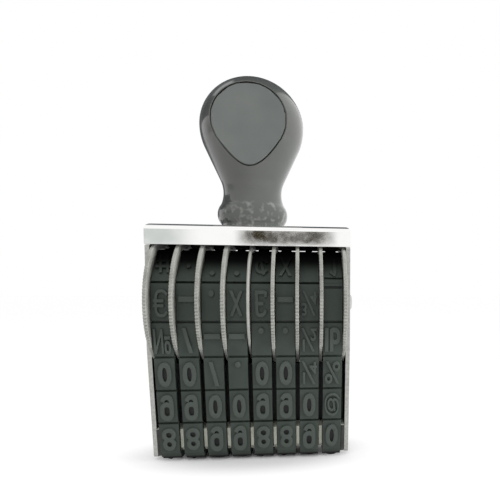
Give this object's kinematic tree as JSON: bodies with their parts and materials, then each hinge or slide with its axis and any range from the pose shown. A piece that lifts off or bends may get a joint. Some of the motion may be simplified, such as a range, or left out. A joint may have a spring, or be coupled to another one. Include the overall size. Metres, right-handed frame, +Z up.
{
  "type": "rubber band numbering stamp",
  "caption": "Self-standing hand numbering stamp: rubber type bands run over serrated thumb wheels on an axle and over an anvil comb, in a folded metal frame with a bulb handle.",
  "frame": {"origin": "middle of the printing face, where the raised type on the bottom segments meets the paper", "axes": "+Z up through the handle, +X along the wheels' axle to the user's right, -Y towards the user and the label flat"},
  "size_m": [0.0494, 0.03, 0.0926],
  "materials": {
    "plated_sheet": "bright nickel plate",
    "axle_steel": "plain turned steel",
    "dark_steel": "blackened steel",
    "wheel_plastic": "satin",
    "divider_plastic": "smooth",
    "band_rubber": "dull, faintly greasy",
    "comb_plastic": "satin",
    "handle_plastic": "polished",
    "label_plastic": "satin, bare"
  },
  "bodies": {
    "stamp": {"frame_bracket": "plated_sheet", "axle": "axle_steel", "centre_divider": "divider_plastic", "type_band_1": "band_rubber", "type_band_2": "band_rubber", "type_band_3": "band_rubber", "type_band_4": "band_rubber", "type_band_5": "band_rubber", "type_band_6": "band_rubber", "type_band_7": "band_rubber", "type_band_8": "band_rubber", "anvil_comb": "comb_plastic", "anvil_rod": "axle_steel", "spacer_plate": "dark_steel", "handle_grip": "handle_plastic", "label_plate": "label_plastic", "handle_stud": "axle_steel", "handle_washer": "axle_steel"},
    "wheel_1": {"thumb_wheel_1": "wheel_plastic"},
    "wheel_2": {"thumb_wheel_2": "wheel_plastic"},
    "wheel_3": {"thumb_wheel_3": "wheel_plastic"},
    "wheel_4": {"thumb_wheel_4": "wheel_plastic"},
    "wheel_5": {"thumb_wheel_5": "wheel_plastic"},
    "wheel_6": {"thumb_wheel_6": "wheel_plastic"},
    "wheel_7": {"thumb_wheel_7": "wheel_plastic"},
    "wheel_8": {"thumb_wheel_8": "wheel_plastic"}
  },
  "joints": [
    {"name": "wheel_1_turn", "type": "hinge", "parent": "stamp", "child": "wheel_1", "pos_m": [-0.022, 0, 0.03851], "axis": [1, 0, 0], "continuous": true},
    {"name": "wheel_2_turn", "type": "hinge", "parent": "stamp", "child": "wheel_2", "pos_m": [-0.0165, 0, 0.03851], "axis": [1, 0, 0], "continuous": true},
    {"name": "wheel_3_turn", "type": "hinge", "parent": "stamp", "child": "wheel_3", "pos_m": [-0.011, 0, 0.03851], "axis": [1, 0, 0], "continuous": true},
    {"name": "wheel_4_turn", "type": "hinge", "parent": "stamp", "child": "wheel_4", "pos_m": [-0.0055, 0, 0.03851], "axis": [1, 0, 0], "continuous": true},
    {"name": "wheel_5_turn", "type": "hinge", "parent": "stamp", "child": "wheel_5", "pos_m": [0.0055, 0, 0.03851], "axis": [1, 0, 0], "continuous": true},
    {"name": "wheel_6_turn", "type": "hinge", "parent": "stamp", "child": "wheel_6", "pos_m": [0.011, 0, 0.03851], "axis": [1, 0, 0], "continuous": true},
    {"name": "wheel_7_turn", "type": "hinge", "parent": "stamp", "child": "wheel_7", "pos_m": [0.0165, 0, 0.03851], "axis": [1, 0, 0], "continuous": true},
    {"name": "wheel_8_turn", "type": "hinge", "parent": "stamp", "child": "wheel_8", "pos_m": [0.022, 0, 0.03851], "axis": [1, 0, 0], "continuous": true}
  ]
}
